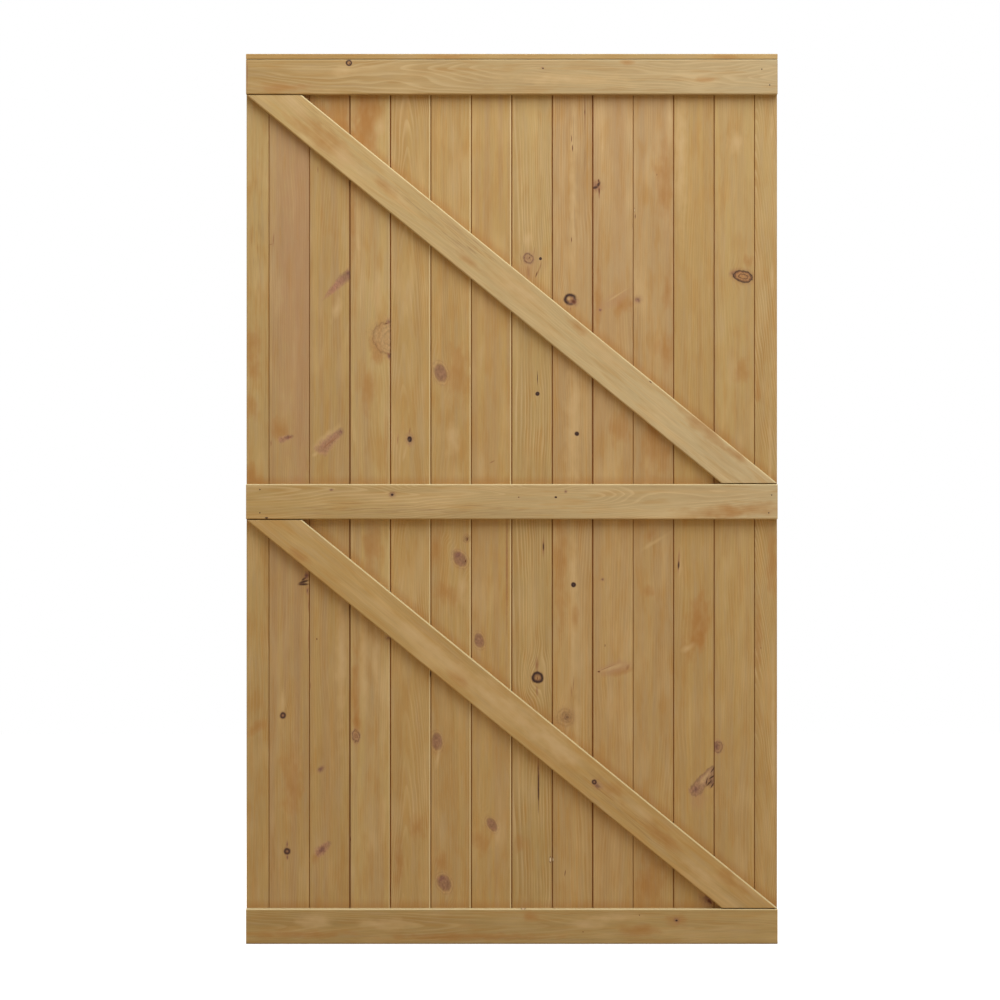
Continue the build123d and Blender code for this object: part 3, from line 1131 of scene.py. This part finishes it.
BRACES = {
    "upper_brace": Timber(
        61.0, "straw", "pale", 1.02, pith=(0.01, 0.03), year=0.003, lean=0.02, figure=0.3,
        amber=0.15, rose=0.0, cream=0.3, edges=(1.0, 0.0),
        marks=(
            ("stain", 5, -483, 18.2, 60.7, 0),
            ("stain", -28, 484, 10.1, 48.5, 0),
            ("resin", 10, -432, 16.2, 24.3, 0),
            ("resin", -11, -578, 16.2, 32.4, 0),
            ("resin", -17, 216, 12.1, 52.6, 0),
            ("resin", -9, 14, 16.2, 60.7, 0),
            ("stain", 2, -335, 8.1, 24.3, 0),
            ("stain", 11, -100, 6.1, 28.3, 0),
            ("stain", -24, 153, 8.1, 14.2, 0),
            ("stain", -26, 562, 8.1, 28.3, 0),
            ("lines", -33, -523, 16.2, 48.5, 0),
            ("lines", -5, -283, 12.1, 48.5, 0),
            ("lines", -10, -170, 16.2, 60.7, 0),
            ("lines", -18, -103, 10.1, 40.4, 0),
            ("crack", -32, 336, 1.4, 5.3, 0),
        ),
    ),
    "lower_brace": Timber(
        64.0, "tan", "tan", 1.04, pith=(-0.01, 0.03), year=0.003, lean=0.02, figure=0.15,
        amber=0.25, rose=0.0, cream=0.3, edges=(1.0, 0.0),
        marks=(
            ("resin", -7, -24, 18.2, 80.9, 0),
            ("resin", -8, 93, 16.2, 68.7, 0),
            ("resin", 1, -148, 10.1, 101.1, 0),
            ("stain", 23, -534, 6.1, 28.3, 0),
            ("stain", 13, -125, 10.1, 24.3, 0),
            ("stain", -12, 257, 12.1, 24.3, 0),
            ("stain", 0, 397, 12.1, 40.4, 0),
            ("stain", -19, 554, 10.1, 28.3, 0),
            ("resin", 1, -239, 14.2, 52.6, 0),
            ("resin", -5, 121, 12.1, 40.4, 0),
            ("resin", 4, 494, 12.1, 52.6, 0),
            ("resin", -10, 326, 8.1, 24.3, 0),
            ("smudge", 2, 224, 8.1, 10.1, 0),
            ("lines", 6, 235, 16.2, 40.4, 0),
            ("lines", 11, 344, 16.2, 40.4, 0),
            ("button", 1, 216, 5.1, 5.1, 0),
        ),
    ),
}
for node, timber in BRACES.items():
    reach = (-BRACE_REACH, BRACE_REACH)
    dress(node, middle_of(node), LEVEL + BRACE_SLOPE, reach, RAIL_HALF_WIDTH, timber)


# Heads of the small pins that hold the boards to the ledges and braces

PIN_RADIUS = 0.0014
PIN_HEIGHT = 0.0004
PIN_SIDES = 10
PIN_RINGS = ((1.0, 0.0), (0.92, 0.6), (0.55, 0.95))
LEDGED_SIDE_PINS = (
    (-0.032, 1.769),
    (-0.016, 1.737),
    (-1.047, 0.919),
    (-1.047, 0.872),
    (-0.012, 0.908),
    (-0.018, 0.872),
)
LEDGE_MIDDLES = (0.0355, 0.8945, 1.7537)
BRACE_MIDDLES = (0.465, 1.3241)
BRACE_RISE = 0.33
LEDGE_PIN_STAGGER = 0.015
BRACE_PIN_STAGGER = 0.012


def pin_places():
    """Where each pin head sits, and which way it looks: -1 for the ledged side."""
    for x, z in LEDGED_SIDE_PINS:
        yield x, FRONT_FACE, z, -1
    for left, right in zip(JOINTS, JOINTS[1:]):
        middle = (left + right) / 2
        spread = (right - left) / 4
        for z in LEDGE_MIDDLES:
            yield middle - spread, BACK_FACE, z + LEDGE_PIN_STAGGER, 1
            yield middle + spread, BACK_FACE, z - LEDGE_PIN_STAGGER, 1
        for z in BRACE_MIDDLES:
            along_brace = z - (middle - LEAF_MIDDLE) * math.tan(BRACE_SLOPE)
            if abs(along_brace - z) < BRACE_RISE:
                yield middle - spread, BACK_FACE, along_brace + BRACE_PIN_STAGGER, 1
                yield middle + spread, BACK_FACE, along_brace - BRACE_PIN_STAGGER, 1


def pin_heads():
    """One mesh with a low domed head at each place."""
    shape = bmesh.new()
    for x, y, z, way in pin_places():
        rings = []
        for share, rise in PIN_RINGS:
            ring = []
            for n in range(PIN_SIDES):
                angle = 2 * math.pi * n / PIN_SIDES * way
                spot = (
                    x + PIN_RADIUS * share * math.cos(angle),
                    y + way * PIN_HEIGHT * rise,
                    z - PIN_RADIUS * share * math.sin(angle),
                )
                ring.append(shape.verts.new(spot))
            rings.append(ring)
        for lower, upper in zip(rings, rings[1:]):
            for n in range(PIN_SIDES):
                shape.faces.new((lower[n], lower[n - 1], upper[n - 1], upper[n]))
        shape.faces.new(rings[-1][::-1])
    bmesh.ops.recalc_face_normals(shape, faces=shape.faces)
    mesh = bpy.data.meshes.new("pins")
    shape.to_mesh(mesh)
    shape.free()
    return bpy.data.objects.new("pins", mesh)


def dull_steel():
    """Dull steel with rust here and there."""
    material = bpy.data.materials.new("dull_steel")
    net = Net(material)
    place = net.add("ShaderNodeTexCoord", out="Object")
    spots = net.noise(place, (0.0006, 0.0006, 0.0006), 2.0)
    rust = net.noise(place, (0.05, 0.05, 0.05), 5.0)
    colour = net.blend(net.smooth(rust + spots * 0.3, 0.5, 0.8), tone(96, 86, 76), tone(104, 68, 44))
    surface = net.add(
        "ShaderNodeBsdfPrincipled",
        None,
        {"Base Color": colour, "Metallic": 0.7, "Roughness": 0.45 + spots * 0.2},
    )
    net.add("ShaderNodeOutputMaterial", None, {"Surface": surface})
    return material


pins = pin_heads()
bpy.context.scene.collection.objects.link(pins)
pins.data.materials.append(dull_steel())
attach(pins, "root")


# Camera at the photograph's viewing angle

CAMERA_DISTANCE = 9.0
SENSOR_WIDTH = 36
PHOTO_WIDTH = 1000
LEDGE_FACE_PIXEL = 0.002022
camera_data = bpy.data.cameras.new("camera")
camera_data.sensor_width = SENSOR_WIDTH
camera_data.lens = CAMERA_DISTANCE * SENSOR_WIDTH / (LEDGE_FACE_PIXEL * PHOTO_WIDTH)
camera = bpy.data.objects.new("camera", camera_data)
camera.location = (-0.5614, FRONT_FACE - CAMERA_DISTANCE, 0.8978)
camera.rotation_euler = (math.radians(90), 0, 0)
bpy.context.scene.collection.objects.link(camera)
bpy.context.scene.camera = camera


# White studio: pale floor that gives a warm bounce, soft lamps above, even fill. The camera
# sees the floor and the surroundings as plain white

FLOOR_HALF_WIDTH = 8
FLOOR_MIDDLE = (-0.54, 0, 0)
WARM_BOUNCE = (0.59, 0.455, 0.285, 1)
WHITE_FLOOR = {
    "Base Color": (0.8, 0.8, 0.8, 1),
    "Roughness": 0.9,
    "Emission Color": (1, 1, 1, 1),
    "Emission Strength": 0.55,
}
WHITE = (1, 1, 1, 1)
LOW_FILL = (0.50, 0.375, 0.24, 1)
HIGH_FILL = (0.86, 0.85, 0.86, 1)
HORIZON = (-0.1, 0.6)
FILL_STRENGTH = 0.715


def split_by_camera(net, output, unseen, seen):
    """Ends a net in one shader for the camera and another for all other light."""
    by_camera = net.add("ShaderNodeLightPath", out="Is Camera Ray")
    surface = net.add("ShaderNodeMixShader", None, {0: by_camera, 1: unseen, 2: seen})
    net.add(output, None, {"Surface": surface})


floor_mesh = bpy.data.meshes.new("floor")
shape = bmesh.new()
bmesh.ops.create_grid(shape, x_segments=1, y_segments=1, size=FLOOR_HALF_WIDTH)
shape.to_mesh(floor_mesh)
shape.free()
floor = bpy.data.objects.new("floor", floor_mesh)
floor.location = FLOOR_MIDDLE
bpy.context.scene.collection.objects.link(floor)
floor_material = bpy.data.materials.new("white_floor")
floor_net = Net(floor_material)
split_by_camera(
    floor_net,
    "ShaderNodeOutputMaterial",
    floor_net.add("ShaderNodeBsdfDiffuse", None, {"Color": WARM_BOUNCE}),
    floor_net.add("ShaderNodeBsdfPrincipled", None, WHITE_FLOOR),
)
floor_mesh.materials.append(floor_material)

world = bpy.data.worlds.new("studio")
bpy.context.scene.world = world
world_net = Net(world)
_, _, height = world_net.parts(world_net.add("ShaderNodeTexCoord", out="Generated"))
dome = world_net.blend(world_net.smooth(height, *HORIZON), LOW_FILL, HIGH_FILL)
split_by_camera(
    world_net,
    "ShaderNodeOutputWorld",
    world_net.add("ShaderNodeBackground", None, {"Color": dome, "Strength": FILL_STRENGTH}),
    world_net.add("ShaderNodeBackground", None, {"Color": WHITE, "Strength": 1.0}),
)


def lamp(name, place, aim, width, height, power, colour):
    """A soft rectangular lamp."""
    data = bpy.data.lights.new(name, "AREA")
    data.shape = "RECTANGLE"
    data.size = width
    data.size_y = height
    data.energy = power
    data.color = colour
    light = bpy.data.objects.new(name, data)
    light.location = place
    light.rotation_euler = (Vector(aim) - Vector(place)).to_track_quat("-Z", "Y").to_euler()
    bpy.context.scene.collection.objects.link(light)


lamp("soft_box", (-0.2, -1.7, 3.3), (-0.5, 0, 1.3), 2.4, 2.3, 50, (1.0, 1.0, 1.0))
lamp("rear_box", (-0.9, 1.6, 3.2), (-0.54, 0, 0.9), 2.0, 0.8, 45, (1.0, 0.98, 0.95))

bpy.context.scene.view_settings.view_transform = "Standard"
